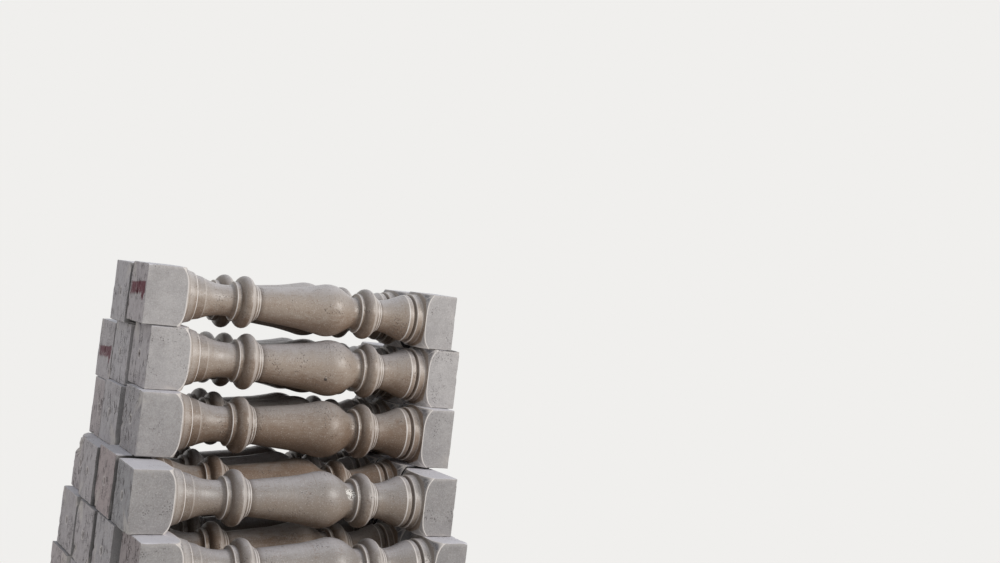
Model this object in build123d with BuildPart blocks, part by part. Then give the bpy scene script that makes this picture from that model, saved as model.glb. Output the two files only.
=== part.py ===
from build123d import *
from collections import namedtuple
import os

os.makedirs("parts", exist_ok=True)

# A dry-laid stack of turned stone balusters, lying on their sides.
# Millimetres. +X runs along the balusters, from the foot block to the head block; +Y goes
# from the front of the stack to its back; +Z is up. The origin is on the ground, in the
# middle of the stack's footprint.

# The bars that the balusters are turned from
baluster_length = 650
block_side = 120
foot_block = 55  # square block left at the foot
head_block = 43  # square block left at the head
shoulder_radius = 26  # quarter round where the lathe cut runs out of the square

# Depths of the lathe cuts, below the faces of the blocks
foot_bevel_cut = 3
foot_band_cut = 8.5
foot_lip_cut = 11.5
foot_neck_cut = 15
foot_fillet_cut = 17.5
ring_cut = 4.5
seat_cut = 18
collar_cut = 21.5
vase_foot_cut = 24
vase_cone_cut = 14.6
belly_cut = 3.2
short_neck_cut = 24.5
head_fillet_cut = 15.5
flare_hollow_cut = 17.4
flare_cut = 8
groove_cut = 11
head_band_cut = 5

# Widths of the turned members, along the axis
foot_bevel_width = 5
foot_band_width = 17
foot_lip_width = 17
neck_width = 56
foot_hollow_radius = 8
foot_fillet_width = 10
ring_width = 27
seat_width = 6
collar_width = 6
vase_cone_width = 87
belly_to_short_neck = 50
short_neck_width = 8
head_hollow_radius = 4
head_fillet_width = 7
flare_hollow_width = 35
flare_cone_width = 23
flare_lip_width = 9
groove_width = 6
head_band_width = 13
head_bevel_width = 4
neck_hollow = 3.7  # depth of the neck's long hollow below a straight cone
belly_rise_angle = 13  # the belly is a zone of a ball on the axis, between these two angles
belly_fall_angle = 33

# Pit of the lathe centre in both end faces
centre_pit_radius = 8
centre_pit_depth = 10

# Courses from the ground up. Each has the place of its foot ends along X, the place of its
# front along Y and its turn in degrees, both from the front foot corner of the top course.
# Then come its balusters from front to back, each with the gap before it, how far its end
# stands out of line and how much thinner its bar is than block_side.
courses = [
    (-12, -204, 0.4, [(0, 0, 0), (8, 3, 0), (13, -5, 0), (9, 2, 0)]),
    (-16, -198, -0.3, [(0, 0, 0), (10, -4, 0), (9, 6, 0), (14, -3, 0)]),
    (-8, -206, 0.6, [(0, 0, 0), (7, 5, 0), (16, -6, 0), (10, -9, 0)]),
    (-14, -200, -0.2, [(0, 0, 0), (12, -7, 0), (8, 4, 0), (15, 5, 0)]),
    (-10, -205, 0.8, [(0, 0, 0), (9, 2, 0), (18, -8, 0), (13, -4, 0)]),
    (-17, -199, 0.3, [(0, 0, 0), (14, -5, 0), (11, 3, 0), (18, -10, 0)]),
    (-14, -205, 1.2, [(0, 0, 0), (22, -6, 0), (20, -8, 0), (26, -10, 0)]),
    (-11, -201, 1.6, [(0, 0, 0), (20, -8, 0), (8, -9, 0), (25, -5, 3)]),
    (-21, -139, 0.9, [(0, 0, 4), (7, 1, 0), (7, 0, 8), (5, 16, 11)]),
    (8, -35, 0.2, [(0, 0, 0), (28, -3, 2), (3, 7, 4)]),
    (19, 3, -0.5, [(0, 0, 0), (4, -5, 0), (3, -5, 1)]),
    (0, 0, 0.0, [(0, 0, 8), (12, 1, 2)]),
]
row_names = ["front", "second", "third", "fourth"]


def lathe_outline(half):
    """Draw half of the turned outline, where half is half of the bar's side."""
    reach = half + shoulder_radius  # the blocks' corners lie inside this radius

    # places of the members, from the foot end
    bevel = foot_block + shoulder_radius
    band = bevel + foot_bevel_width
    lip = band + foot_band_width
    neck = lip + foot_lip_width
    hollow = neck + neck_width
    fillet = hollow + foot_hollow_radius
    ring = fillet + foot_fillet_width
    seat = ring + ring_width
    collar = seat + seat_width
    vase = collar + collar_width

    # places of the members, back from the head end
    head_bevel = baluster_length - head_block - shoulder_radius
    head_band = head_bevel - head_bevel_width
    groove = head_band - head_band_width
    flare_lip = groove - groove_width
    flare_top = flare_lip - flare_lip_width
    flare_cone = flare_top - flare_cone_width
    flare = flare_cone - flare_hollow_width
    head_collar = flare - collar_width
    head_seat = head_collar - seat_width
    head_ring = head_seat - ring_width
    head_fillet = head_ring - head_fillet_width
    head_hollow = head_fillet - head_hollow_radius
    short_neck = head_hollow - short_neck_width
    belly = short_neck - belly_to_short_neck
    vase_cone = vase + vase_cone_width

    # foot block, its shoulder, the band and the lip
    Polyline((0, 0), (0, reach), (foot_block, reach))
    CenterArc((foot_block, half), shoulder_radius, 90, -90)
    Polyline(
        (bevel, half),
        (band, half - foot_bevel_cut),
        (lip, half - foot_band_cut),
        (lip, half - foot_lip_cut),
        (neck, half - foot_neck_cut),
    )

    # long hollow of the neck, then a quarter hollow up to the fillet
    neck_end = half - foot_fillet_cut - foot_hollow_radius
    neck_middle = (half - foot_neck_cut + neck_end) / 2 - neck_hollow
    ThreePointArc(
        (neck, half - foot_neck_cut),
        ((neck + hollow) / 2, neck_middle),
        (hollow, neck_end),
    )
    CenterArc((hollow, half - foot_fillet_cut), foot_hollow_radius, -90, 90)
    Line((fillet, half - foot_fillet_cut), (ring, half - foot_fillet_cut))

    # foot ring on its seat and collar
    ThreePointArc(
        (ring, half - foot_fillet_cut),
        (ring + ring_width / 2, half - ring_cut),
        (seat, half - seat_cut),
    )
    Polyline(
        (seat, half - seat_cut),
        (collar, half - seat_cut),
        (collar, half - collar_cut),
        (vase, half - collar_cut),
        (vase, half - vase_foot_cut),
    )

    # vase: a slow cone, a hollow, the ball of the belly and a steep cone to the short neck
    ball = CenterArc(
        (belly, 0),
        half - belly_cut,
        90 + belly_rise_angle,
        -belly_rise_angle - belly_fall_angle,
    )
    cone = Line((vase, half - vase_foot_cut), (vase_cone, half - vase_cone_cut))
    TangentArc(cone @ 1, ball @ 0, tangent=cone % 1)
    Polyline(
        ball @ 1,
        (short_neck, half - short_neck_cut),
        (head_hollow, half - short_neck_cut),
    )

    # head ring between its fillet and collar
    CenterArc((head_hollow, half - short_neck_cut + head_hollow_radius), head_hollow_radius, -90, 90)
    Polyline(
        (head_fillet, half - short_neck_cut + head_hollow_radius),
        (head_fillet, half - head_fillet_cut),
        (head_ring, half - head_fillet_cut),
    )
    ThreePointArc(
        (head_ring, half - head_fillet_cut),
        (head_ring + ring_width / 2, half - ring_cut),
        (head_seat, half - seat_cut),
    )
    Polyline(
        (head_seat, half - seat_cut),
        (head_collar, half - seat_cut),
        (head_collar, half - collar_cut),
        (flare, half - collar_cut),
        (flare, half - short_neck_cut),
    )

    # flare up to the head, its lip, a groove, the head band and the head block
    TangentArc(
        (flare, half - short_neck_cut),
        (flare_cone, half - flare_hollow_cut),
        tangent=(1, 0),
    )
    Line((flare_cone, half - flare_hollow_cut), (flare_top, half - flare_cut))
    Line((flare_top, half - flare_cut), (flare_lip, half - flare_cut))
    ThreePointArc(
        (flare_lip, half - flare_cut),
        (flare_lip + groove_width / 2, half - groove_cut),
        (groove, half - flare_cut),
    )
    Polyline(
        (groove, half - flare_cut),
        (groove, half - head_band_cut),
        (head_band, half - head_band_cut),
        (head_bevel, half),
    )
    CenterArc((baluster_length - head_block, half), shoulder_radius, 180, -90)
    Polyline(
        (baluster_length - head_block, reach),
        (baluster_length, reach),
        (baluster_length, 0),
        (0, 0),
    )


def turned_baluster(end_centre, along, across, side):
    """One baluster: a square bar, turned between its two end blocks."""
    axis = Axis(end_centre, along)
    bar_end = Plane(origin=end_centre, x_dir=across, z_dir=along)
    axis_plane = Plane(origin=end_centre, x_dir=along, z_dir=-across)

    with BuildPart() as baluster:
        with BuildSketch(bar_end):
            Rectangle(side, side)
        extrude(amount=baluster_length)

        with BuildSketch(axis_plane):
            with BuildLine():
                lathe_outline(side / 2)
            make_face()
        revolve(axis=axis, mode=Mode.INTERSECT)

        with BuildSketch(axis_plane):
            with BuildLine():
                Polyline((0, 0), (0, centre_pit_radius), (centre_pit_depth, 0), close=True)
            make_face()
            with BuildLine():
                Polyline(
                    (baluster_length, 0),
                    (baluster_length, centre_pit_radius),
                    (baluster_length - centre_pit_depth, 0),
                    close=True,
                )
            make_face()
        revolve(axis=axis, mode=Mode.SUBTRACT)
    return baluster


Stone = namedtuple("Stone", "name corner along across side")


def depth_range(stone, run):
    """Front and back of a stone along Y, at this run from its foot end."""
    front = (stone.corner + stone.along * run).Y
    return front, front + stone.side


def lies_over(stone, lower):
    """Whether a stone's end blocks reach over those of a lower stone."""
    for run in (0, baluster_length):
        front, back = depth_range(stone, run)
        lower_front, lower_back = depth_range(lower, run)
        if front < lower_back and lower_front < back:
            return True
    return False


def lay_course(number, course, course_below):
    """The stones of one course, each on the highest block that it reaches over."""
    end, front, turn, balusters = course
    along = Vector(1, 0, 0).rotate(Axis.Z, turn)
    across = Vector(0, 1, 0).rotate(Axis.Z, turn)
    stones = []
    depth = 0
    for row, (gap, stand_out, thinner) in enumerate(balusters):
        depth += gap
        side = block_side - thinner
        name = f"course_{number:02d}_{row_names[row]}_baluster"
        corner = Vector(end, front, 0) + along * stand_out + across * depth
        stone = Stone(name, corner, along, across, side)
        tops = [lower.corner.Z + lower.side for lower in course_below if lies_over(stone, lower)]
        bed = max(tops, default=0)  # the ground under the first course
        stones.append(stone._replace(corner=corner + Vector(0, 0, bed)))
        depth += side
    return stones


def footprint_middle(stones):
    """Middle of the box round all the stones, on the ground."""
    corners = []
    for stone in stones:
        for run in (0, baluster_length):
            for depth in (0, stone.side):
                corners.append(stone.corner + stone.along * run + stone.across * depth)
    xs = [point.X for point in corners]
    ys = [point.Y for point in corners]
    return Vector((min(xs) + max(xs)) / 2, (min(ys) + max(ys)) / 2, 0)


stack = []
course_below = []
for number, course in enumerate(courses, start=1):
    course_below = lay_course(number, course, course_below)
    stack += course_below

middle = footprint_middle(stack)
for name, corner, along, across, side in stack:
    end_centre = corner - middle + across * (side / 2) + Vector(0, 0, side / 2)
    stone = turned_baluster(end_centre, along, across, side)
    stone.part.label = name
    export_step(stone.part, f"parts/{name}.step")
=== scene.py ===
import math
import random

import bpy
from mathutils import Matrix, Vector


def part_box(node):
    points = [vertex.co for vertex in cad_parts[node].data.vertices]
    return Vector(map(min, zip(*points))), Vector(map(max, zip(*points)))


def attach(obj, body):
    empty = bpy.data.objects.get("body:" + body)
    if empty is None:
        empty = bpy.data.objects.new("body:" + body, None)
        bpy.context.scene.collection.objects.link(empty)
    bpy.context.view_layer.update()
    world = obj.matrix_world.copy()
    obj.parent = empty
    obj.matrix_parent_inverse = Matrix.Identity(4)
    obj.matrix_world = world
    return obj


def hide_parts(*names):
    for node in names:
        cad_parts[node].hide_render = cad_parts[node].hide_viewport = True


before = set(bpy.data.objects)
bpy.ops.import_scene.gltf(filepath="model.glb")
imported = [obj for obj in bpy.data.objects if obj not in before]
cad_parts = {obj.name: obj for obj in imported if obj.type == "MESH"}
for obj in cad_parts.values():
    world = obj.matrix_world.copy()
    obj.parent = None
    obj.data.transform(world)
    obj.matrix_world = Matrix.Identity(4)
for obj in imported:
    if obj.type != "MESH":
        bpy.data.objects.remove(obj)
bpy.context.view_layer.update()        # the imported meshes now lie in world space
print("frame: loaded", len(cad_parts), "stones")


# Sockets as Python values

class Wire:
    # one output socket: sums on it add Math nodes
    def __init__(self, board, socket):
        self.board = board
        self.socket = socket

    def other(self, name):
        return Wire(self.board, self.socket.node.outputs[name])

    def __add__(self, value):
        return self.board.math("ADD", self, value)

    def __radd__(self, value):
        return self.board.math("ADD", value, self)

    def __sub__(self, value):
        return self.board.math("SUBTRACT", self, value)

    def __rsub__(self, value):
        return self.board.math("SUBTRACT", value, self)

    def __mul__(self, value):
        return self.board.math("MULTIPLY", self, value)

    def __rmul__(self, value):
        return self.board.math("MULTIPLY", value, self)

    def __truediv__(self, value):
        return self.board.math("DIVIDE", self, value)

    def __rtruediv__(self, value):
        return self.board.math("DIVIDE", value, self)

    def __pow__(self, value):
        return self.board.math("POWER", self, value)

    def __rpow__(self, value):
        return self.board.math("POWER", value, self)

    def __abs__(self):
        return self.board.math("ABSOLUTE", self)

    def __neg__(self):
        return self.board.math("MULTIPLY", self, -1.0)


class Board:
    # a node tree being wired up
    def __init__(self, tree):
        self.tree = tree
        self.placed = 0

    def find(self, sockets, key):
        if isinstance(key, int):
            return sockets[key]
        for socket in sockets:
            if socket.identifier == key:
                return socket
        return sockets[key]

    def make(self, kind, settings=None, inputs=None, output=0):
        node = self.tree.nodes.new(kind)
        node.location = (self.placed % 14 * 180, -(self.placed // 14) * 320)
        self.placed += 1
        for name, value in (settings or {}).items():
            setattr(node, name, value)
        for key, value in (inputs or {}).items():
            socket = self.find(node.inputs, key)
            if isinstance(value, Wire):
                self.tree.links.new(value.socket, socket)
            else:
                socket.default_value = value
        if not node.outputs:
            return None
        return Wire(self, self.find(node.outputs, output))

    def math(self, operation, *values):
        return self.make("ShaderNodeMath", {"operation": operation}, dict(enumerate(values)))

    def vector(self, operation, *values):
        return self.make("ShaderNodeVectorMath", {"operation": operation}, dict(enumerate(values)))

    def step(self, value, low, high):
        # 0 below low, 1 above high, smooth between them
        return self.make(
            "ShaderNodeMapRange",
            {"interpolation_type": "SMOOTHSTEP"},
            {"Value": value, "From Min": low, "From Max": high},
        )

    def noise(self, place, scale, detail=3.0, rough=0.55):
        return self.make(
            "ShaderNodeTexNoise",
            None,
            {"Vector": place, "Scale": scale, "Detail": detail, "Roughness": rough},
        )

    def mix(self, share, first, second, blend="MIX"):
        return self.make(
            "ShaderNodeMix",
            {"data_type": "RGBA", "blend_type": blend},
            {"Factor_Float": share, "A_Color": first, "B_Color": second},
            "Result_Color",
        )


# Sizes of one baluster, in metres
baluster = {
    "footBlock": 0.055,
    "headBlock": 0.043,
    "shoulder": 0.026,       # radius where the turning runs out of the square
    "endBevel": 0.0014,
    "endRim": 0.0012,        # from the bar's face in to the edge of the sawn end
    "pitRadius": 0.008,
    "pitDepth": 0.010,
    "columns": 72,           # directions round the axis
    "wobble": 0.0005,
    "chipDepth": 0.0050,
    "cornerChip": 0.012,     # the largest knocked corner drawn by chance
    "sawStep": 0.0008,
    "endRoughness": 0.0007,
    "skew": 0.0018,          # how far an end may be out of square
    "seed": 4160,
}

# what the stones in view have of their own; the rest is drawn by chance
ownLook = {
    "course_12_front_baluster": {
        "Paint": 1.0, "Paint Height": 0.008,
        "Foot Skew": -0.0004, "Stain": 0.42, "Tone": 0.96, "Corner Chip": 0.004,
    },
    "course_12_second_baluster": {
        "Foot Skew": 0.0012, "Tone": 0.99, "Corner Chip": 0.003, "Chips": 0.1,
    },
    "course_11_front_baluster": {
        "Foot Skew": -0.0006, "Stain": 0.45, "Tone": 0.97, "Corner Chip": 0.005,
        "Joint Across": (0.0, 0.08, 0.0),
    },
    "course_11_second_baluster": {
        "Foot Skew": 0.0005, "Tone": 1.0, "Corner Chip": 0.002,
        "Joint Across": (0.0, 0.25, 0.0),
    },
    "course_11_third_baluster": {
        "Paint": 0.9, "Paint Height": -0.004,
        "Foot Skew": -0.0005, "Tone": 1.0, "Corner Chip": 0.002,
    },
    "course_10_front_baluster": {
        "Foot Skew": 0.0004, "Stain": 1.05, "Tone": 0.80, "Corner Chip": 0.004, "Warm End": 0.2,
    },
    "course_10_second_baluster": {"Foot Skew": -0.0010, "Stain": 1.0, "Tone": 0.96},
    # the low Tone of this front and of course 8's front is partly painted shade on the lowest courses
    "course_09_front_baluster": {
        "Foot Skew": 0.0040, "Stain": -0.10, "Tone": 0.71, "Corner Chip": 0.004, "Warm End": 0.0,
    },
    "course_09_second_baluster": {
        "Foot Skew": 0.0018, "Stain": 1.6, "Tone": 0.84, "Corner Chip": 0.004, "Warm End": 1.0,
    },
    "course_09_third_baluster": {"Foot Skew": 0.0020, "Tone": 0.95, "Warm End": 0.3},
    "course_09_fourth_baluster": {
        "Chips": 1.0, "Corner Chip": 0.018, "Chip Corner": 0.0, "Tone": 0.97,
    },
    "course_08_front_baluster": {
        "Foot Skew": 0.0025, "Stain": -0.10, "Tone": 0.69, "Corner Chip": 0.009, "Warm End": 0.8,
    },
    "course_08_second_baluster": {"Stain": 1.3, "Tone": 0.88, "Warm End": 0.2},
    "course_08_fourth_baluster": {"Foot Skew": 0.0012, "Tone": 0.95, "Corner Chip": 0.003},
}

# single scars: run from the foot end, direction round the axis (180 is the front), distance
# from the axis, size, and 1 for a pale break or -1 for a dark hole
scars = {
    "course_12_front_baluster": (0.285, 186, 0.041, 0.0035, -1.0),
    "course_11_front_baluster": (0.361, 201, 0.055, 0.0040, -1.0),
    "course_09_front_baluster": (0.434, 147, 0.0385, 0.0145, 1.0),
}

# The turned members in order from the foot end. Each point has its run, the depth of its cut
# below the faces of the blocks, how bright its painted highlight is and how dark the painted shade in its
# corner is.
members = {
    "footBand": (
        (0.0812, 0.0003, 0.6, 0.0),
        (0.0856, 0.0029, 0.3, 0.0),
        (0.0870, 0.0034, 0.42, 0.0),
        (0.0945, 0.0058, 0.38, 0.0),
        (0.1008, 0.0077, 0.2, 0.0),
        (0.1018, 0.0081, 0.9, 0.0),
        (0.1029, 0.0086, 1.0, 0.0),
    ),
    "footLip": (
        (0.1034, 0.0113, 0.3, 0.5),
        (0.1060, 0.0121, 0.0, 0.12),
        (0.1130, 0.0135, 0.0, 0.16),
        (0.1190, 0.0147, 0.0, 0.16),
        (0.1200, 0.0150, 0.5, 0.0),
    ),
    "footFillet": (
        (0.1846, 0.0175, 1.0, 0.0),
        (0.1860, 0.0175, 0.2, 0.0),
        (0.1890, 0.0176, 0.0, 0.0),
        (0.1934, 0.0178, 0.0, 0.6),
    ),
    "shortNeck": (
        (0.4330, 0.0245, 0.0, 0.1),
        (0.4408, 0.0245, 0.0, 0.0),
    ),
    "headFillet": (
        (0.4451, 0.0162, 0.6, 0.0),
        (0.4458, 0.0155, 1.0, 0.0),
        (0.4474, 0.0155, 0.2, 0.0),
        (0.4515, 0.0157, 0.0, 0.6),
    ),
    "flareLip": (
        (0.5375, 0.0127, 0.0, 0.0),
        (0.5470, 0.0088, 0.1, 0.0),
        (0.5482, 0.0083, 0.8, 0.0),
        (0.5495, 0.0080, 0.7, 0.0),
        (0.5508, 0.0080, 0.30, 0.0),
        (0.5562, 0.0081, 0.30, 0.0),
        (0.5574, 0.0082, 0.5, 0.0),
    ),
    "groove": (
        (0.5590, 0.0097, 0.0, 0.8),
        (0.5610, 0.0110, 0.0, 1.0),
        (0.5630, 0.0097, 0.0, 0.9),
    ),
    "headBand": (
        (0.5638, 0.0060, 0.5, 0.0),
        (0.5646, 0.0051, 0.8, 0.0),
        (0.5658, 0.0051, 0.32, 0.0),
        (0.5752, 0.0052, 0.28, 0.0),
        (0.5764, 0.0052, 0.5, 0.0),
        (0.5790, 0.0027, 0.0, 0.7),
        (0.5807, 0.0004, 0.0, 0.3),
    ),
    # the same behind both rings, with its run from the ring's end
    "seatAndCollar": (
        (0.0046, 0.0180, 0.5, 0.0),
        (0.0060, 0.0187, 1.0, 0.0),
        (0.0062, 0.0213, 0.0, 0.5),
        (0.0106, 0.0215, 0.5, 0.0),
        (0.0119, 0.0222, 1.0, 0.0),
    ),
}

# the members that are arcs: their ends or centre as (run, cut), and how far they bow off the chord
arcs = {
    "neck": {"end": (0.176, 0.0255), "bow": -0.0037, "points": 8},
    "footHollow": {"centre": (0.176, 0.0175), "radius": 0.008, "angles": (-90, 0), "points": 4},
    "footRing": {"start": (0.194, 0.0175), "end": (0.221, 0.0180), "bow": 0.0132, "cornerCut": 0.0239},
    "headHollow": {"centre": (0.441, 0.0205), "radius": 0.004, "angles": (-90, -12), "points": 3},
    "headRing": {"start": (0.452, 0.0155), "end": (0.479, 0.0180), "bow": 0.0121, "cornerCut": 0.0243},
    "flare": {"end": (0.526, 0.0174), "bow": -0.0018, "points": 6},
}
ringPoints = 10
collarRun = 0.0122  # from a ring's end to the corner behind its collar

# the vase: a slow cone, a slight hollow and the ball of the belly
vase = {
    "coneShares": (0.12, 0.34, 0.56, 0.78, 1.0),
    "coneEnd": 0.320,
    "coneRise": 0.0093,
    "hollowBow": -0.0006,
    "hollowPoints": 4,
    "bellyRun": 0.383,
    "bellyCut": 0.0032,
    "bellyAngles": (103, 57),
    "bellyPoints": 9,
    "fallShares": (0.33, 0.66),
}


def arcPoint(centre, radius, degrees):
    angle = math.radians(degrees)
    return centre[0] + radius * math.cos(angle), centre[1] + radius * math.sin(angle)


def arcPoints(centre, radius, start, end, count):
    # points of an arc, angles in degrees from the axis, without its first point
    steps = range(1, count + 1)
    return [arcPoint(centre, radius, start + (end - start) * number / count) for number in steps]


def bowPoints(start, end, bow, count):
    # points of a flat arc from start to end that bows off its chord, without its first point
    (x0, y0), (x1, y1) = start, end
    run, rise = x1 - x0, y1 - y0
    chord = math.hypot(run, rise)
    radius = (chord * chord / 4 + bow * bow) / (2 * abs(bow))
    half = math.asin(chord / 2 / radius)
    points = []
    for number in range(1, count + 1):
        angle = half * (2 * number / count - 1)
        lift = math.copysign(radius * (math.cos(angle) - math.cos(half)), bow)
        along = chord / 2 + radius * math.sin(angle)
        x = x0 + (run * along - rise * lift) / chord
        y = y0 + (rise * along + run * lift) / chord
        points.append((x, y))
    return points


def turnedOutline(half):
    # the turned part as (run, radius, crest, crevice): crest is the painted highlight, 1 on a sharp outer
    # edge, crevice is the painted shade, 1 in an inner corner
    path = []

    def last():
        return path[-1][:2]

    def outward(run, cut):
        return run, half - cut

    def addMember(name, start=0.0):
        for run, cut, crest, crevice in members[name]:
            path.append((*outward(start + run, cut), crest, crevice))

    def addPoints(points, paintedShade=0.0, wear=0.0):
        # painted shade lies on the first half of the points, and wear, which is a painted highlight, on the
        # second
        for number, (run, radius) in enumerate(points):
            share = number / len(points)
            path.append((run, radius, wear * (0.45 < share < 0.85), paintedShade * max(0.0, 1 - 1.6 * share)))

    def addBow(arc):
        addPoints(bowPoints(last(), outward(*arc["end"]), arc["bow"], arc["points"]))

    def addHollow(arc):
        points = arcPoints(outward(*arc["centre"]), arc["radius"], *arc["angles"], arc["points"])
        # the hollow gets painted shade on its first half
        addPoints(points, paintedShade=0.5)

    def addRing(ring):
        # a ring, its seat and collar, and the corner behind them
        start, end = outward(*ring["start"]), outward(*ring["end"])
        # the ring gets painted shade on its first half and at its end, and a painted highlight on its
        # second half
        addPoints(bowPoints(start, end, ring["bow"], ringPoints), paintedShade=0.7, wear=0.5)
        path[-1] = (*last(), 0.0, 0.7)
        addMember("seatAndCollar", end[0])
        # painted shade in the corner behind the collar
        path.append((*outward(end[0] + collarRun, ring["cornerCut"]), 0.0, 0.9))

    def addStraight(end, shares):
        # points on the straight way to the end
        start = last()
        for share in shares:
            run, radius = (p + (q - p) * share for p, q in zip(start, end))
            path.append((run, radius, 0.0, 0.0))

    addMember("footBand")
    addMember("footLip")
    addBow(arcs["neck"])
    addHollow(arcs["footHollow"])
    hollowEnd = last()
    # the worn edge also gets a painted highlight and a little painted shade
    path[-1] = (hollowEnd[0] - 0.0002, hollowEnd[1] - 0.0006, 0.6, 0.1)  # its edge is worn off
    addMember("footFillet")
    addRing(arcs["footRing"])

    coneEnd = outward(vase["coneEnd"], arcs["footRing"]["cornerCut"] - vase["coneRise"])
    addStraight(coneEnd, vase["coneShares"])
    centre, ball = (vase["bellyRun"], 0), half - vase["bellyCut"]
    rise, fall = vase["bellyAngles"]
    addPoints(bowPoints(last(), arcPoint(centre, ball, rise), vase["hollowBow"], vase["hollowPoints"]))
    addPoints(arcPoints(centre, ball, rise, fall, vase["bellyPoints"]))
    addStraight(outward(*members["shortNeck"][0][:2]), vase["fallShares"])

    addMember("shortNeck")
    addHollow(arcs["headHollow"])
    addMember("headFillet")
    addRing(arcs["headRing"])
    addBow(arcs["flare"])
    addMember("flareLip")
    addMember("groove")
    addMember("headBand")
    return path


# rows of points where the tree places them itself, as shares of the way over each zone
rowShares = {
    "pit": ((0.0, 1.0), (0.55, 0.45)),  # of its radius and of its depth
    "face": (0.12, 0.3, 0.5, 0.7, 0.86, 0.95),
    # the crest of a row is the painted highlight along the arris
    "block": ((0.0, 0.0), (0.05, 0.0), (0.14, 0.0), (0.3, 0.0), (0.5, 0.0), (0.7, 0.0), (0.86, 0.0),
              (0.955, 0.0), (0.982, 0.7)),  # with the crest of each
    "shoulder": ((0.0, 1.0), (0.1, 0.6), (0.4, 0.15), (0.7, 0.0)),
}


def outlineMesh(half):
    # every row of the outline: position holds (run, radius, share), zone says which rule
    # of the tree places it; runs of the head's own zones are measured from the head end
    pit, rim = baluster["pitRadius"], half - baluster["endRim"]
    end = []
    # the pit gets painted shade, and its rim and the end's rim get a painted highlight
    for share, depth in rowShares["pit"]:
        end.append((baluster["pitDepth"] * depth, pit * share, 0.0, 0.0, 1.0))
    end.append((0.0, pit, 0.0, 0.6, 0.0))
    for share in rowShares["face"]:
        end.append((0.0, pit + (rim - pit) * share, min(1.0, share * 1.6), 0.0, 0.0))
    end.append((0.0, rim, 1.0, 0.5, 0.0))
    block = [(0.0, 0.0, share, crest, 0.0) for share, crest in rowShares["block"]]
    shoulder = [(0.0, 0.0, share, crest, 0.0) for share, crest in rowShares["shoulder"]]
    turned = [(run, radius, 0.0, crest, crevice) for run, radius, crest, crevice in turnedOutline(half)]
    zones = (end, block, shoulder, turned, shoulder[::-1], block[::-1], end[::-1])
    rows = []
    for zone, zoneRows in enumerate(zones):
        for run, radius, share, crest, crevice in zoneRows:
            rows.append((run, radius, share, zone, crest, crevice))
    edges = [(number, number + 1) for number in range(len(rows) - 1)]
    mesh = bpy.data.meshes.new("outline")
    mesh.from_pydata([row[:3] for row in rows], edges, [])
    for name, column in (("zone", 3), ("crest", 4), ("crevice", 5)):
        layer = mesh.attributes.new(name, "FLOAT", "POINT")
        layer.data.foreach_set("value", [float(row[column]) for row in rows])
    return mesh


# what the tree is given for each stone
treeInputs = {
    "NodeSocketFloat": (
        "Side", "Length", "Foot Block", "Head Block", "Shoulder", "End Bevel", "Columns", "Seed",
        "Tone", "Stain", "Warm End", "Paint", "Paint Height", "Chips", "Chip Depth",
        "Corner Chip", "Chip Corner", "Wobble", "Saw Step", "End Roughness",
        "Foot Skew", "Head Skew", "Scar Size", "Scar Kind",
    ),
    "NodeSocketVector": ("Scar Place", "Joint Across", "Joint Up"),
}

# wear that is the same for all stones: scales of its noises, and depths in metres
wear = {
    "cornerPower": (26.0, 120.0),  # the lowest and what is added to it; more is sharper
    "cornerNoise": 34.0,
    "cornerReach": 0.4142,  # of half the side, from the middle of a face out to a sharp corner
    "chipNoise": 26.0,
    "nickNoise": 95.0,
    "nickDepth": 0.0017,
    "wobbleNoise": 16.0,
    "ringNickNoise": 120.0,
    "ringNickDepth": 0.0010,
    "biteNoise": 60.0,
    "scarDepth": 0.0011,
    "roughEndNoise": 70.0,
    "sawNoise": 40.0,
    "sawWaver": 0.010,
    "sawEdge": 0.0012,
    "mergeDistance": 0.00002,
    "steepEdge": 36,  # degrees past which an edge is sharp
    "crispEdge": 9,   # the same on the crests
}


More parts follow.
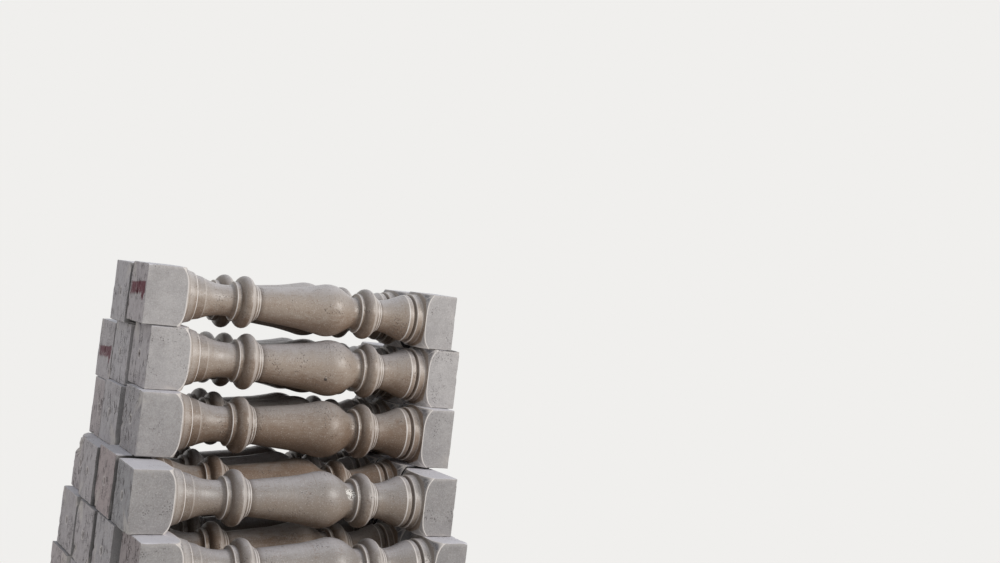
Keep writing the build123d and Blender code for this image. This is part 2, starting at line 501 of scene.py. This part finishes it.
def stoneTree(material):
    # Geometry Nodes: turns the outline round its axis, squares the blocks and wears the stone
    tree = bpy.data.node_groups.new("turnedBaluster", "GeometryNodeTree")
    tree.interface.new_socket("Geometry", in_out="OUTPUT", socket_type="NodeSocketGeometry")
    tree.interface.new_socket("Outline", in_out="INPUT", socket_type="NodeSocketGeometry")
    for kind, names in treeInputs.items():
        for name in names:
            tree.interface.new_socket(name, in_out="INPUT", socket_type=kind)
    b = Board(tree)
    given = b.make("NodeGroupInput")
    outline = given.other("Outline")
    side, length, seed = given.other("Side"), given.other("Length"), given.other("Seed")
    footBlock, headBlock = given.other("Foot Block"), given.other("Head Block")
    shoulder, bevel = given.other("Shoulder"), given.other("End Bevel")
    footSkew, headSkew = given.other("Foot Skew"), given.other("Head Skew")
    scarPlace, scarSize = given.other("Scar Place"), given.other("Scar Size")
    half = side * 0.5

    # the grid: one row for each row of the outline, one column for each direction round the axis
    rows = b.make("GeometryNodeAttributeDomainSize", {"component": "MESH"}, {"Geometry": outline})
    columns = given.other("Columns") + 1.0
    grid = b.make("GeometryNodeMeshGrid", None, {"Vertices X": rows, "Vertices Y": columns})
    index = b.make("GeometryNodeInputIndex") + 0.0
    row = b.math("FLOOR", (index + 0.5) / columns)
    column = index - row * columns

    def sampled(kind, value):
        return b.make(
            "GeometryNodeSampleIndex",
            {"data_type": kind},
            {"Geometry": outline, "Value": value, "Index": row},
        )

    def named(name):
        return b.make("GeometryNodeInputNamedAttribute", {"data_type": "FLOAT"}, {"Name": name})

    position = sampled("FLOAT_VECTOR", b.make("GeometryNodeInputPosition"))
    place = b.make("ShaderNodeSeparateXYZ", None, {0: position})
    pathRun, pathRadius, share = place, place.other("Y"), place.other("Z")
    zone = sampled("FLOAT", named("zone"))
    crest = sampled("FLOAT", named("crest"))
    crevice = sampled("FLOAT", named("crevice"))
    # zones 0 to 6: sawn end, block, shoulder, turned part, shoulder, block, sawn end
    atHead = b.math("GREATER_THAN", zone, 3.5)
    nearest = b.math("MINIMUM", zone, 6.0 - zone)
    isEnd = b.math("LESS_THAN", nearest, 0.5)
    isBlock = b.math("COMPARE", nearest, 1.0, 0.5)
    isShoulder = b.math("COMPARE", nearest, 2.0, 0.5)
    isTurned = b.math("GREATER_THAN", nearest, 2.5)
    notTurned = 1.0 - isTurned

    # directions, closer together towards the corners of the square
    quarter = column / (columns - 1.0) * 4.0
    face = b.math("ROUND", quarter)
    off = quarter - face
    crowded = (1.0 - (1.0 - abs(off) * 2.0) ** (1.0 + notTurned * 0.5)) * 0.5 * b.math("SIGN", off)
    angle = (face + crowded) * (math.pi / 2)
    cosine, sine = b.math("COSINE", angle), b.math("SINE", angle)

    # each stone reads its own part of the noises
    seedShift = b.make("ShaderNodeCombineXYZ", None, {"X": seed * 3.17, "Y": seed * 1.31, "Z": seed * 2.43})

    # the square section, with worn corners
    cornerRun = pathRun + share * footBlock * isBlock + atHead * length
    cornerPlace = b.make("ShaderNodeCombineXYZ", None, {"X": cornerRun, "Y": face * 5.0})
    cornerPlace = b.vector("ADD", cornerPlace, seedShift)
    lowest, added = wear["cornerPower"]
    power = lowest + added * b.step(b.noise(cornerPlace, wear["cornerNoise"]), 0.35, 0.65)
    square = half / (abs(cosine) ** power + abs(sine) ** power) ** (1.0 / power)

    # where the quarter-round shoulder leaves the block, and the runs and radii of each zone
    blockLength = footBlock + (headBlock - footBlock) * atHead
    lift = square - half
    edgeRun = blockLength + b.math("SQRT", b.math("MAXIMUM", shoulder * shoulder - lift * lift, 0.0))
    blockRun = bevel + (edgeRun - bevel) * share
    startAngle = b.math("ARCCOSINE", b.math("MINIMUM", lift / shoulder, 1.0))
    startAngle = b.math("MINIMUM", startAngle, math.radians(84))  # so its rows never fall into one
    shoulderAngle = startAngle + (math.pi / 2 - startAngle) * share
    shoulderRun = blockLength + shoulder * b.math("SINE", shoulderAngle)
    shoulderRadius = b.math("MINIMUM", half + shoulder * b.math("COSINE", shoulderAngle), square)
    ownRun = pathRun * (isEnd + isTurned) + blockRun * isBlock + shoulderRun * isShoulder
    endRadius = pathRadius * (1.0 + (square / half - 1.0) * share)
    radius = endRadius * isEnd + square * isBlock + shoulderRadius * isShoulder + pathRadius * isTurned
    run = ownRun + (length - ownRun * 2.0) * atHead
    across, height = radius * cosine, radius * sine
    flat = b.make("ShaderNodeCombineXYZ", None, {"X": run, "Y": across, "Z": height})
    marked = b.vector("ADD", flat, seedShift)

    # chips along the arrises, nicks in the rings and a slightly uneven turning
    corner = b.math("MAXIMUM", lift / (half * wear["cornerReach"]), 0.0) ** 3.0
    rim = isEnd * share ** 6.0 + isBlock * (1.0 - share) ** 9.0
    chips = given.other("Chips")
    chipField = b.noise(marked, wear["chipNoise"], detail=2.0)
    chipField = b.step(chipField, 0.735 - 0.17 * chips, 0.84 - 0.12 * chips)
    nickField = b.step(b.noise(marked, wear["nickNoise"], detail=2.0), 0.56, 0.76)
    chip = chipField * given.other("Chip Depth") + nickField * wear["nickDepth"]
    arrisShare = b.math("MINIMUM", corner * notTurned + rim + isBlock * share ** 9.0 * 0.3, 1.3)
    uneven = b.noise(marked, wear["wobbleNoise"]) * given.other("Wobble")
    uneven = uneven * (isTurned + isShoulder + isBlock * 0.5)
    ringNick = b.step(b.noise(marked, wear["ringNickNoise"], detail=1.0), 0.64, 0.76)
    ringNick = ringNick * wear["ringNickDepth"] * isTurned * (0.2 + crest)

    # one knocked corner at the foot end
    chipAngle = (given.other("Chip Corner") + 0.5) * (math.pi / 2)
    aside = 1.0 - b.math("COSINE", angle - chipAngle)
    ragged = 1.0 + (b.noise(marked, wear["biteNoise"]) - 0.5) * 1.6
    bite = given.other("Corner Chip") * ragged - ownRun * 0.8 - aside * half * 2.6
    bite = b.math("MAXIMUM", bite, 0.0) * (1.0 - atHead) * (isEnd * share ** 3.0 + isBlock)

    # one scar
    scarAway = b.vector("DISTANCE", flat, scarPlace).other("Value")
    scar = 1.0 - b.step(scarAway, scarSize * 0.55, scarSize + 0.00001)

    # sawn ends: not quite square, rough, with a step where the two saw cuts met
    skew = footSkew + (headSkew - footSkew) * atHead
    lean = abs(skew) * 0.5 + skew * across / side
    roughEnd = b.noise(marked, wear["roughEndNoise"], detail=5.0, rough=0.65)
    roughEnd = roughEnd * given.other("End Roughness")
    cutHeight = height + (b.noise(marked, wear["sawNoise"]) - 0.5) * wear["sawWaver"]
    cut = b.step(cutHeight, -wear["sawEdge"], wear["sawEdge"]) * given.other("Saw Step")
    inset = lean * (isEnd + isBlock * (1.0 - share)) + isEnd * share * (roughEnd + cut)
    inset = inset + chip * (isEnd * share ** 6.0 + isBlock * (1.0 - share) ** 14.0) * 0.8 + bite * 0.35
    run = run + inset * (1.0 - 2.0 * atHead)
    radius = radius - chip * arrisShare - uneven - ringNick - bite * 0.75 - scar * wear["scarDepth"]
    radius = b.math("MAXIMUM", radius, 0.0)
    turnedRound = b.make("ShaderNodeCombineXYZ", None, {"X": run, "Y": radius * cosine, "Z": radius * sine})
    shaped = b.make("GeometryNodeSetPosition", None, {"Geometry": grid, "Position": turnedRound})

    # what the material reads; the painted highlight on the arrises of the shoulders is only a narrow line
    cornerHighlight = corner * isBlock * 0.45 + corner ** 5.0 * isShoulder * 0.8
    fields = (
        ("grain", "FLOAT_VECTOR", marked),
        ("place", "FLOAT_VECTOR", flat),
        ("sawn", "FLOAT", isEnd),
        ("turned", "FLOAT", isTurned + isShoulder * 0.35),
        ("arrisHighlight", "FLOAT", b.math("MINIMUM", crest + cornerHighlight, 1.0)),
        ("crevice", "FLOAT", crevice),
        ("jointAcross", "FLOAT_VECTOR", given.other("Joint Across")),
        ("jointUp", "FLOAT_VECTOR", given.other("Joint Up")),
        ("halfSide", "FLOAT", half),
        ("length", "FLOAT", length),
        ("warmEnd", "FLOAT", given.other("Warm End")),
        ("broken", "FLOAT", b.math("MINIMUM", (chip * arrisShare + bite) / 0.003, 1.0)),
        ("scarPlace", "FLOAT_VECTOR", scarPlace),
        ("scarSize", "FLOAT", scarSize),
        ("scarKind", "FLOAT", given.other("Scar Kind")),
        ("tone", "FLOAT", given.other("Tone")),
        ("stain", "FLOAT", given.other("Stain")),
        ("paint", "FLOAT", given.other("Paint") * isEnd * (1.0 - atHead)),
        ("paintHeight", "FLOAT", given.other("Paint Height")),
        ("crisp", "FLOAT", b.math("GREATER_THAN", crest, 0.75)),
    )
    for name, kind, value in fields:
        shaped = b.make(
            "GeometryNodeStoreNamedAttribute",
            {"data_type": kind, "domain": "POINT"},
            {"Geometry": shaped, "Name": name, "Value": value},
        )

    # close the seam and the poles, keep the sharp edges sharp
    merge = {"Geometry": shaped, "Distance": wear["mergeDistance"]}
    closed = b.make("GeometryNodeMergeByDistance", None, merge)
    edgeAngle = b.make("GeometryNodeInputMeshEdgeAngle")
    steep = b.math("GREATER_THAN", edgeAngle, math.radians(wear["steepEdge"]))
    crispRow = b.math("GREATER_THAN", named("crisp"), 0.99)
    crispRow = crispRow * b.math("GREATER_THAN", edgeAngle, math.radians(wear["crispEdge"]))
    smooth = b.make(
        "GeometryNodeSetShadeSmooth",
        {"domain": "FACE"},
        {"Geometry": closed, "Shade Smooth": True},
    )
    sharp = b.make(
        "GeometryNodeSetShadeSmooth",
        {"domain": "EDGE"},
        {"Geometry": smooth, "Selection": b.math("MAXIMUM", steep, crispRow), "Shade Smooth": False},
    )
    whole = b.make("GeometryNodeRealizeInstances", None, {"Geometry": sharp})
    painted = b.make("GeometryNodeSetMaterial", None, {"Geometry": whole, "Material": material})
    b.make("NodeGroupOutput", None, {"Geometry": painted})
    return tree


def setInput(modifier, name, value):
    # a modifier's input is set by the identifier of its socket
    for item in modifier.node_group.interface.items_tree:
        if item.name == name and item.in_out == "INPUT":
            modifier[item.identifier] = value


def stonePlace(name):
    # how a CAD stone lies: its middle, its turn about Z, its side and its length
    low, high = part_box(name)
    side = high[2] - low[2]
    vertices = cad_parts[name].data.vertices
    points = {tuple(round(value, 5) for value in vertex.co) for vertex in vertices}
    reach = side * 0.1  # what counts as an end, along X

    def middleOf(chosen):
        return Vector((sum(p[0] for p in chosen), sum(p[1] for p in chosen), 0.0)) / len(chosen)

    foot = middleOf([p for p in points if p[0] < low[0] + reach])
    head = middleOf([p for p in points if p[0] > high[0] - reach])
    turn = math.atan2(head.y - foot.y, head.x - foot.x)
    length = (high[0] - low[0] - side * abs(math.sin(turn))) / math.cos(turn)
    middle = Vector([(a + b) / 2 for a, b in zip(low, high)])
    return middle, turn, side, length


# Stone

def srgb(red, green, blue):
    # a colour as seen on a screen, 0 to 255, made linear
    def linear(value):
        value /= 255
        return value / 12.92 if value <= 0.04045 else ((value + 0.055) / 1.055) ** 2.4
    return (linear(red), linear(green), linear(blue), 1.0)


stoneLook = {
    "honed": srgb(178, 174, 173),
    "honedShade": srgb(156, 152, 152),
    # turnedTop is partly a painted top light; underside is partly painted shade below and also colours dark
    # specks
    "turnedTop": srgb(166, 159, 155),
    "turned": srgb(155, 140, 127),
    "turnedWarm": srgb(132, 110, 92),
    "underside": srgb(122, 101, 85),
    "shoulder": srgb(182, 178, 177),
    "shoulderShade": srgb(112, 113, 121),
    "dustAndTopLightColour": srgb(212, 210, 217),
    "sawnEnd": srgb(184, 181, 183),
    "sawnWarm": srgb(186, 171, 170),
    "sawnStreak": srgb(144, 135, 137),
    "pit": srgb(52, 43, 41),
    "freshBreak": srgb(206, 198, 190),
    "scar": srgb(244, 240, 234),
    # crest is the colour of the painted highlights and of pale specks; crevice is that of the painted shade
    # in inner corners
    "crest": srgb(224, 217, 212),
    "crevice": srgb(72, 57, 46),
    "jointShade": srgb(30, 24, 22),
    "paint": srgb(92, 34, 47),
}


# noises of the stone: scale, detail and roughness
grains = {
    "broad": (9.0, 4.0, 0.55),
    "mottle": (55.0, 6.0, 0.65),
    "fine": (420.0, 4.0, 0.7),
    "rings": (420.0, 2.0, 0.55),
    "bedding": (260.0, 3.0, 0.55),
    "streak": (230.0, 5.0, 0.75),
    "groups": (24.0, 3.0, 0.55),
    "gouged": (14.0, 2.0, 0.55),
}
pitScale = 250.0
gougeScale = 115.0

# noises that are drawn out: how fast they change along, across and up
drawnOut = {
    "rings": (1.0, 0.04, 0.04),
    "bedding": (0.10, 1.0, 1.0),
    "streak": (1.0, 1.0, 0.22),
    "gouges": (1.0, 1.0, 0.28),
}

# depths of the bump, in metres
depths = {
    "fine": 0.00030,
    "mottle": 0.0004,
    "streak": 0.0010,
    "pits": 0.0010,
    "gashes": 0.0015,
    "rings": 0.00014,
    "bedding": 0.00016,
    "hole": 0.002,
    "scar": 0.002,
}

# painted shade in the joints: its width on the honed faces, what the sawn ends add, and the hairline
# at the very edge
jointShadeSizes = {"wide": 0.0018, "sawn": 0.0036, "hairline": 0.0004, "most": 0.92}

# the smear of yard paint on an end
paintSmear = {"halfWidth": 0.052, "halfHeight": 0.014, "run": 0.014, "cover": 0.92}


def stoneMaterial():
    look = stoneLook
    material = bpy.data.materials.new("yardStone")
    material.use_nodes = True
    tree = material.node_tree
    tree.nodes.clear()
    b = Board(tree)

    def attribute(name, output="Fac"):
        return b.make("ShaderNodeAttribute", {"attribute_name": name}, None, output)

    def parts(vector):
        return b.make("ShaderNodeSeparateXYZ", None, {0: vector})

    grain, place = attribute("grain", "Vector"), attribute("place", "Vector")
    sawn, turned = attribute("sawn"), attribute("turned")
    arrisHighlight, crevice, broken = attribute("arrisHighlight"), attribute("crevice"), attribute("broken")
    tone, stain = attribute("tone"), attribute("stain")
    facing = parts(b.make("ShaderNodeNewGeometry", None, None, "Normal")).other("Z")
    run = parts(place)
    across, height = run.other("Y"), run.other("Z")

    def stretched(name):
        return b.vector("MULTIPLY", grain, drawnOut[name])

    def grainNoise(name):
        # a noise about 0
        where = stretched(name) if name in drawnOut else grain
        return b.noise(where, *grains[name]) - 0.5

    broad, mottle, fine = grainNoise("broad"), grainNoise("mottle"), grainNoise("fine")
    rings, bedding, streak = grainNoise("rings"), grainNoise("bedding"), grainNoise("streak")

    # honed faces of the blocks
    shaded = b.step(mottle * 0.5 + broad * 0.8 + fine * 0.5, -0.22, 0.24)
    honed = b.mix(shaded, look["honed"], look["honedShade"])

    # turned work: pale on top, tan in front, browner below, browner still where it is stained; the pale top
    # and browner underside are partly painted light and shade, partly stain
    drift = mottle * 0.9 + broad * 0.9 + bedding * 0.5
    neck = b.step(run, 0.118, 0.124) * b.step(0.186 - run, 0.0, 0.020)  # less stain here, so the neck is paler
    stain = stain - neck * 0.4
    upward = b.step(facing + drift * 0.6 - stain * 0.35, -0.25, 0.75)
    lathe = b.mix(upward, look["turned"], look["turnedTop"])
    lathe = b.mix(b.step(drift * 1.4 - facing * 0.7 + stain * 0.9, 0.25, 1.15), lathe, look["turnedWarm"])
    lathe = b.mix(b.step(drift * 0.7 - facing + stain * 0.3, 0.25, 1.1), lathe, look["underside"])
    # painted shade: the upward faces of the shoulders turn a darker blue grey
    shoulderShadeShare = b.step(facing + mottle * 0.8 + fine * 0.8, 0.05, 0.42)
    shoulders = b.mix(shoulderShadeShare, look["shoulder"], look["shoulderShade"])
    lathe = b.mix(b.step(turned, 0.25, 0.8), shoulders, lathe)
    surface = b.mix(b.step(turned, 0.0, 0.3), honed, lathe)

    # sawn ends with upright saw marks
    sawnColour = b.mix(attribute("warmEnd"), look["sawnEnd"], look["sawnWarm"])
    ends = b.mix(b.step(streak + mottle * 0.5 + fine * 0.5, -0.08, 0.30), sawnColour, look["sawnStreak"])
    surface = b.mix(sawn, surface, ends)
    shade = b.make("ShaderNodeCombineColor", None, {0: tone, 1: tone, 2: tone})
    surface = b.mix(1.0, surface, shade, "MULTIPLY")

    # dust on what faces up, partly a painted top light
    level = 0.25 + 0.3 * b.step(turned, 0.3, 0.9)
    dustAndTopLight = b.step(facing + mottle * 0.3 * turned, level, level + 0.45) * (0.9 - 0.5 * turned)
    dustAndTopLight = dustAndTopLight * (1.0 - sawn) * (1.0 - 0.9 * b.step(stain, 0.45, 1.2) * turned)
    onShoulder = b.step(turned, 0.1, 0.3) * (1.0 - b.step(turned, 0.4, 0.7))
    surface = b.mix(dustAndTopLight * (1.0 - 0.75 * onShoulder), surface, look["dustAndTopLightColour"])

    def cells(where, scale):
        return b.make(
            "ShaderNodeTexVoronoi",
            {"feature": "F1"},
            {"Vector": where, "Scale": scale},
            "Distance",
        )

    # voids of the stone: long dark ones in groups on the sawn ends, few and small elsewhere
    groups = b.noise(grain, *grains["groups"]) + sawn * 0.06
    pits = (1.0 - b.step(cells(grain, pitScale), 0.16, 0.34)) * b.step(groups, 0.54, 0.64)
    surface = b.mix(pits * (0.55 + 0.3 * sawn), surface, look["pit"])
    gashes = b.step(streak, 0.06, 0.13) * b.step(groups, 0.50, 0.64) * sawn
    surface = b.mix(gashes * 0.85, surface, look["pit"])
    gouged = b.step(b.noise(grain, *grains["gouged"]), 0.50, 0.56) * sawn
    gouges = cells(stretched("gouges"), gougeScale) + streak * 0.6
    gouges = (1.0 - b.step(gouges, 0.16, 0.25)) * gouged
    surface = b.mix(gouges * 0.9, surface, look["pit"])

    # dark and pale specks, and the rings that the lathe left
    darkSpecks = b.step(fine + bedding * turned * 0.5, 0.02, 0.22) * (0.32 + 0.22 * turned)
    surface = b.mix(darkSpecks, surface, look["underside"])
    surface = b.mix(b.step(rings, 0.04, 0.22) * 0.22 * turned, surface, look["underside"])
    surface = b.mix(b.step(-fine, 0.03, 0.20) * (0.19 + 0.12 * turned), surface, look["crest"])

    # painted shade in the inner corners, painted highlights on the crests and arrises, pale breaks
    surface = b.mix(crevice * (0.66 + mottle), surface, look["crevice"])
    surface = b.mix(b.step(arrisHighlight, 0.20, 0.85) * (0.84 + mottle), surface, look["crest"])
    surface = b.mix(broken * (0.45 + mottle), surface, look["freshBreak"])

    # one scar: a pale break with a dark edge, or a dark hole
    scarAway = b.vector("DISTANCE", place, attribute("scarPlace", "Vector")).other("Value")
    scarSize, scarKind = attribute("scarSize"), attribute("scarKind")
    scar = 1.0 - b.step(scarAway + mottle * scarSize * 1.4, scarSize * 0.6, scarSize + 0.00001)
    breakEdge = b.step(scarAway + mottle * 0.016, scarSize * 0.3, scarSize * 0.6)
    paleScar = b.mix(breakEdge * b.step(fine, -0.02, 0.06), look["scar"], look["crevice"])
    surface = b.mix(scar * b.math("MAXIMUM", scarKind, 0.0), surface, paleScar)
    hole = scar * b.math("MAXIMUM", -scarKind, 0.0)
    surface = b.mix(hole * 0.85, surface, look["pit"])

    # painted shade along the edges that have another stone close by
    fromEnd = b.math("MINIMUM", run, attribute("length") - run)
    inside = b.step(fromEnd, 0.001, 0.016)
    lying = b.step(abs(facing), 0.5, 0.8) * b.step(fromEnd, 0.015, 0.035)
    halfSide = attribute("halfSide")
    besides = parts(attribute("jointAcross", "Vector"))
    nearby = parts(attribute("jointUp", "Vector"))

    def rims(position, near, width):
        # painted shade at both edges of the block in one direction, where a stone is near
        low = (1.0 - b.step(halfSide + position + mottle * 0.003, jointShadeSizes["hairline"], width)) * near
        high = 1.0 - b.step(halfSide - position + mottle * 0.003, jointShadeSizes["hairline"], width)
        return b.math("MAXIMUM", low, high * near.other("Y"))

    jointShade = b.math(
        "MAXIMUM",
        rims(across, besides, jointShadeSizes["wide"] + jointShadeSizes["sawn"] * sawn),
        rims(height, nearby, jointShadeSizes["wide"]),
    )
    jointShade = jointShade * (1.0 - b.step(turned, 0.0, 0.1)) * (0.45 + 0.5 * inside + 0.4 * sawn)
    jointShade = jointShade * (1.0 - lying)
    surface = b.mix(b.math("MINIMUM", jointShade, jointShadeSizes["most"]), surface, look["jointShade"])

    # a smear of yard paint across the middle of some ends, run down at one side
    edge = height - attribute("paintHeight") + mottle * 0.012 + across * 0.08 + streak * 0.012
    drips = b.step(across + streak * 0.03, -0.050, -0.040) * b.step(-across + streak * 0.03, 0.030, 0.036)
    lowest = -paintSmear["halfHeight"] - drips * paintSmear["run"]
    band = b.step(edge, lowest, lowest + 0.008) * b.step(paintSmear["halfHeight"] - edge, 0.0, 0.003)
    band = band * b.step(paintSmear["halfWidth"] - abs(across), 0.0, 0.006)
    smear = band * b.step(streak + mottle, -0.30, 0.02) * attribute("paint")
    surface = b.mix(smear * paintSmear["cover"], surface, look["paint"])

    relief = fine * depths["fine"] + mottle * depths["mottle"] + streak * depths["streak"] * sawn
    relief = relief - pits * depths["pits"] - (gashes + gouges) * depths["gashes"]
    relief = relief + (rings * depths["rings"] + bedding * depths["bedding"]) * turned
    relief = relief - hole * depths["hole"] + scar * fine * depths["scar"]
    bump = b.make("ShaderNodeBump", None, {"Strength": 0.85, "Distance": 1.0, "Height": relief})
    rough = b.math("MINIMUM", 0.64 - 0.28 * turned + 0.28 * sawn + 0.3 * mottle + 0.2 * fine, 0.98)
    shader = b.make(
        "ShaderNodeBsdfPrincipled",
        None,
        {"Base Color": surface, "Roughness": rough, "Normal": bump, "Specular IOR Level": 0.45},
    )
    b.make("ShaderNodeOutputMaterial", None, {"Surface": shader})
    return material


def scarInputs(name):
    run, direction, reach, size, kind = scars.get(name, (0.0, 0.0, 0.0, 0.0, 0.0))
    angle = math.radians(direction)
    place = (run, reach * math.cos(angle), reach * math.sin(angle))
    return {"Scar Place": place, "Scar Size": size, "Scar Kind": kind}


# what counts as a stone close by, in metres
closeBy = {"sameCourse": 0.03, "gapAcross": 0.015, "gapUp": 0.012, "setBack": 0.01, "behindEnd": 0.008}


def jointInputs(name, places):
    # which sides of a stone have another one close by: front and back, below and above
    middle, _, side, _ = places[name]
    across, up = [0.0, 0.0, 0.0], [0.0, 0.0, 0.0]
    for otherMiddle, _, otherSide, _ in places.values():
        away = otherMiddle - middle
        sides = (side + otherSide) / 2
        if abs(away.z) < closeBy["sameCourse"] and 0 < abs(away.y) < sides + closeBy["gapAcross"]:
            across[away.y > 0] = 1.0
        meets = abs(abs(away.z) - sides) < closeBy["gapUp"] and away.x < closeBy["behindEnd"]
        if meets and abs(away.y + side / 2 - closeBy["setBack"]) < otherSide / 2:
            up[away.z > 0] = 1.0
        if abs(away.z + sides) < closeBy["gapUp"] and abs(away.y) < sides:
            up[0] = 1.0
    return {"Joint Across": across, "Joint Up": up}


def stoneInputs(name, side, length):
    # what one stone's tree is given, sizes first and then what is drawn by chance
    values = {
        "Side": side,
        "Length": length,
        "Foot Block": baluster["footBlock"],
        "Head Block": baluster["headBlock"],
        "Shoulder": baluster["shoulder"],
        "End Bevel": baluster["endBevel"],
        "Columns": float(baluster["columns"]),
        "Chip Depth": baluster["chipDepth"],
        "Wobble": baluster["wobble"],
        "Saw Step": baluster["sawStep"],
        "End Roughness": baluster["endRoughness"],
        "Paint": 0.0,
        "Paint Height": 0.0,
        "Seed": random.uniform(0.0, 9.0),
        "Tone": random.uniform(0.88, 1.03),
        "Stain": random.uniform(0.1, 0.8),
        "Warm End": random.uniform(0.0, 0.6),
        "Chips": random.random(),
        "Corner Chip": random.uniform(0.0, baluster["cornerChip"]),
        "Chip Corner": float(random.randrange(4)),
        "Foot Skew": random.uniform(-1.0, 1.0) * baluster["skew"],
        "Head Skew": random.uniform(-1.0, 1.0) * baluster["skew"],
    }
    values.update(scarInputs(name))
    return values


def makeStones():
    random.seed(baluster["seed"])
    tree = stoneTree(stoneMaterial())
    outlines = {}
    places = {name: stonePlace(name) for name in sorted(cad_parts)}
    for name, (middle, turn, side, length) in places.items():
        key = round(side, 4)
        if key not in outlines:
            outlines[key] = outlineMesh(side / 2)
        source = bpy.data.objects.new("source", outlines[key])
        bpy.context.scene.collection.objects.link(source)
        modifier = source.modifiers.new("turned", "NODES")
        modifier.node_group = tree
        inputs = stoneInputs(name, side, length)
        inputs.update(jointInputs(name, places))
        inputs.update(ownLook.get(name, {}))
        for title, value in inputs.items():
            setInput(modifier, title, value)
        evaluated = source.evaluated_get(bpy.context.evaluated_depsgraph_get())
        mesh = bpy.data.meshes.new_from_object(evaluated)
        bpy.data.objects.remove(source)

        # the tree's stone runs from its foot end along X: lay its middle where the CAD stone's is
        laid = Matrix.Translation(middle) @ Matrix.Rotation(turn, 4, "Z")
        mesh.transform(laid @ Matrix.Translation((-length / 2, 0, 0)))
        stone = bpy.data.objects.new("worn_" + name, mesh)
        bpy.context.scene.collection.objects.link(stone)
        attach(stone, "root")
        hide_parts(name)
    print("stones: made", len(places), "with", len(mesh.polygons), "faces each")


# Camera, floor and light

view = {
    "corner": "course_12_front_baluster",  # the camera is placed from its upper front foot corner
    "fromCorner": (-0.6707, -2.4699, 0.0494),
    "turn": 29.794,
    "tilt": -0.119,
    "roll": 6.887,
    "focalPixels": 1348.2,
    "imageWidth": 1000,
    "sensor": 36.0,
}


def addCamera():
    low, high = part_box(view["corner"])
    corner = Vector((low[0], low[1], high[2]))
    turn, tilt, roll = (math.radians(view[name]) for name in ("turn", "tilt", "roll"))
    forward = Vector((math.sin(turn) * math.cos(tilt), math.cos(turn) * math.cos(tilt), math.sin(tilt)))
    level = Vector((math.cos(turn), -math.sin(turn), 0.0))
    up = level.cross(forward)
    right = level * math.cos(roll) + up * math.sin(roll)
    upright = up * math.cos(roll) - level * math.sin(roll)
    data = bpy.data.cameras.new("photoCamera")
    data.sensor_fit = "HORIZONTAL"
    data.sensor_width = view["sensor"]
    data.lens = view["focalPixels"] / view["imageWidth"] * view["sensor"]
    camera = bpy.data.objects.new("photoCamera", data)
    axes = Matrix((right, upright, -forward)).transposed().to_4x4()
    camera.matrix_world = Matrix.Translation(corner + Vector(view["fromCorner"])) @ axes
    bpy.context.scene.collection.objects.link(camera)
    bpy.context.scene.camera = camera
    print("camera: placed, lens", round(data.lens, 1), "mm")


studio = {
    "floorRadius": 3.2,
    "floorColour": srgb(214, 212, 208),
    "floorRoughness": 0.9,
    "skyColour": (0.90, 0.95, 1.0, 1.0),
    "skyStrength": 0.47,
    "background": srgb(240, 239, 237),
    "lampColour": (1.0, 0.97, 0.93),
    "lampSize": 2.6,
    "aimHeight": 0.9,
    "keyWatts": 250.0,
    "keyPlace": (3.5, -4.1, 3.7),
    "fillWatts": 30.0,
    "fillPlace": (-4.6, -1.2, 2.2),
}


def addStudio():
    bpy.ops.mesh.primitive_circle_add(vertices=128, radius=studio["floorRadius"], fill_type="NGON")
    floor = bpy.context.object
    floor.name = "studioFloor"
    material = bpy.data.materials.new("studioFloor")
    material.use_nodes = True
    shader = material.node_tree.nodes["Principled BSDF"]
    shader.inputs["Base Color"].default_value = studio["floorColour"]
    shader.inputs["Roughness"].default_value = studio["floorRoughness"]
    floor.data.materials.append(material)

    world = bpy.data.worlds.new("studioWorld")
    bpy.context.scene.world = world
    world.use_nodes = True
    world.node_tree.nodes.clear()
    b = Board(world.node_tree)
    rays = b.make("ShaderNodeLightPath", None, None, "Is Camera Ray")
    shiny = b.math("MAXIMUM", rays.other("Is Glossy Ray"), rays.other("Is Transmission Ray"))
    seen = b.math("MAXIMUM", rays, shiny)
    skyLight = {"Color": studio["skyColour"], "Strength": studio["skyStrength"]}
    sky = b.make("ShaderNodeBackground", None, skyLight)
    pale = b.make("ShaderNodeBackground", None, {"Color": studio["background"], "Strength": 1.0})
    both = b.make("ShaderNodeMixShader", None, {0: seen, 1: sky, 2: pale})
    b.make("ShaderNodeOutputWorld", None, {"Surface": both})

    for name in ("key", "fill"):
        data = bpy.data.lights.new(name, "AREA")
        data.energy = studio[name + "Watts"]
        data.color = studio["lampColour"]
        data.size = studio["lampSize"]
        lamp = bpy.data.objects.new(name, data)
        lamp.location = studio[name + "Place"]
        aim = Vector((0, 0, studio["aimHeight"])) - lamp.location
        lamp.rotation_euler = aim.to_track_quat("-Z", "Y").to_euler()
        bpy.context.scene.collection.objects.link(lamp)
    bpy.context.scene.view_settings.view_transform = "Standard"
    print("studio: floor, sky and two lamps")


addCamera()
makeStones()
addStudio()
